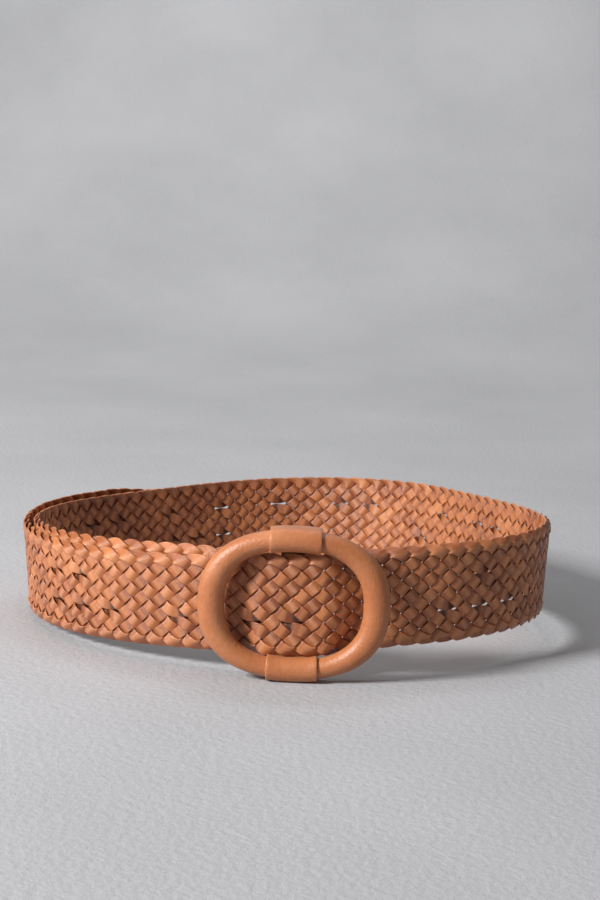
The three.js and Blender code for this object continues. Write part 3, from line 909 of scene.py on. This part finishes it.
face = LEAF + TAB_LEATHER / 2 + 0.12
for row in (0, 1):
    turn = BRAID_START + (24 - 3 - row * 5) * TURN_PER_MM
    for side, label in ((1, "face"), (-1, "back")):
        sew(f"tab_{label}_stitches_{row + 1}", upright_seam(turn, side * face, BRAID_START, 18),
            "strap", f"tab_{label}_thread_{row + 1}")
for side, label in ((1, "face"), (-1, "back")):
    turn = TAIL["end"] - (CAP_LENGTH - 3) * TURN_PER_MM
    route = upright_seam(turn, side * face, TAIL["end"], CAP_STITCH_REACH)
    sew(f"cap_{label}_stitches", route, "tail_rear", f"cap_{label}_thread")
for side, label in ((1, "right"), (-1, "left")):
    angles = (0 if side > 0 else np.pi) + np.linspace(-1.05, 1.05, 60)
    line = ring_line(angles)[0] + np.array([0, RING["depth_half"] + 0.12, 0])
    sew(f"ring_{label}_stitches", on_ring(line), "buckle", f"ring_seam_{label}", 2.6)

# %% [markdown]
# ## The hard parts
#
# The padded core of the ring and the flat steel bar are nearly hidden. Their CAD shapes are right
# as they are, so they only get their finish.

# %% Finish the core and the bar
for node, finish in (("ring_core", PADDED_CORE), ("centre_bar", BRUSHED_STEEL)):
    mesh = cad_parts[node].data
    mesh.materials.clear()
    mesh.materials.append(finish)

# %% [markdown]
# ## Floor, light and camera
#
# The belt stands on a pale grey sweep that curves up behind it. One large soft light from the left
# and a little in front models every lace and throws the shadow to the right. The world fills the
# shadows. The camera looks slightly down from the front, far enough away to keep the oval true.

# %% The pale sweep
def sweep_finish():
    finish, nodes, links, surface = shader("pale_plaster", 0.85, specular=0.2)
    place = nodes.new("ShaderNodeTexCoord").outputs["Object"]
    mottle = noise(nodes, links, place, 3.5, 4.0)
    links.new(ramp(nodes, links, mottle, ((0.3, (0.37, 0.375, 0.39)), (0.7, (0.43, 0.435, 0.455)))),
              surface.inputs["Base Color"])
    bump(nodes, links, surface, noise(nodes, links, place, 260.0, 5.0), 0.0006)
    return finish


profile = [(-2.6, 0.0), (1.0, 0.0)] + [(1.0 + 1.2 * np.sin(a), 1.2 - 1.2 * np.cos(a))
                                       for a in np.linspace(0.1, np.pi / 2, 14)] + [(2.2, 4.5)]
rows = np.array([[(x, y, z) for y, z in profile] for x in np.linspace(-3.5, 3.5, 9)])
sweep = show(face_outwards(grid_mesh("floor", rows)), "floor")
sweep.data.materials.append(sweep_finish())
if sweep.data.polygons[0].normal.z < 0:
    sweep.data.flip_normals()
print("floor faces", len(sweep.data.polygons))


# %% Light from the left
def soft_light(name, place, size, watts, color=(1, 1, 1), target=(0.0, 0.0, 0.02)):
    lamp = bpy.data.lights.new(name, "AREA")
    lamp.shape, lamp.size, lamp.energy, lamp.color = "SQUARE", size, watts, color
    holder = bpy.data.objects.new(name, lamp)
    holder.location = place
    holder.rotation_euler = (Vector(target) - Vector(place)).to_track_quat("-Z", "Y").to_euler()
    bpy.context.collection.objects.link(holder)
    return holder


soft_light("window", (-1.40, -0.92, 1.02), 0.42, 58, (1.0, 0.985, 0.97))
soft_light("ceiling", (0.2, -0.1, 2.2), 2.2, 7, (0.96, 0.98, 1.0))
soft_light("backdrop", (0.0, 0.8, 2.0), 1.2, 25, target=(0.0, 2.2, 0.8))
world = bpy.data.worlds.new("room")
world.use_nodes = True
world.node_tree.nodes["Background"].inputs["Color"].default_value = (1.0, 0.94, 0.88, 1)
world.node_tree.nodes["Background"].inputs["Strength"].default_value = 0.18
bpy.context.scene.world = world
bpy.context.scene.view_settings.view_transform = "Standard"

# %% The camera
CAMERA_PLACE = (-0.00141, -0.90157, 0.23308)
CAMERA_TURN = (81.0301, -1.9867, -0.2469)
lens = bpy.data.cameras.new("camera")
lens.lens = 66.0
camera = bpy.data.objects.new("camera", lens)
camera.location = CAMERA_PLACE
camera.rotation_euler = np.radians(CAMERA_TURN)
bpy.context.collection.objects.link(camera)
bpy.context.scene.camera = camera
print("camera at", CAMERA_PLACE, "with a", lens.lens, "mm lens")
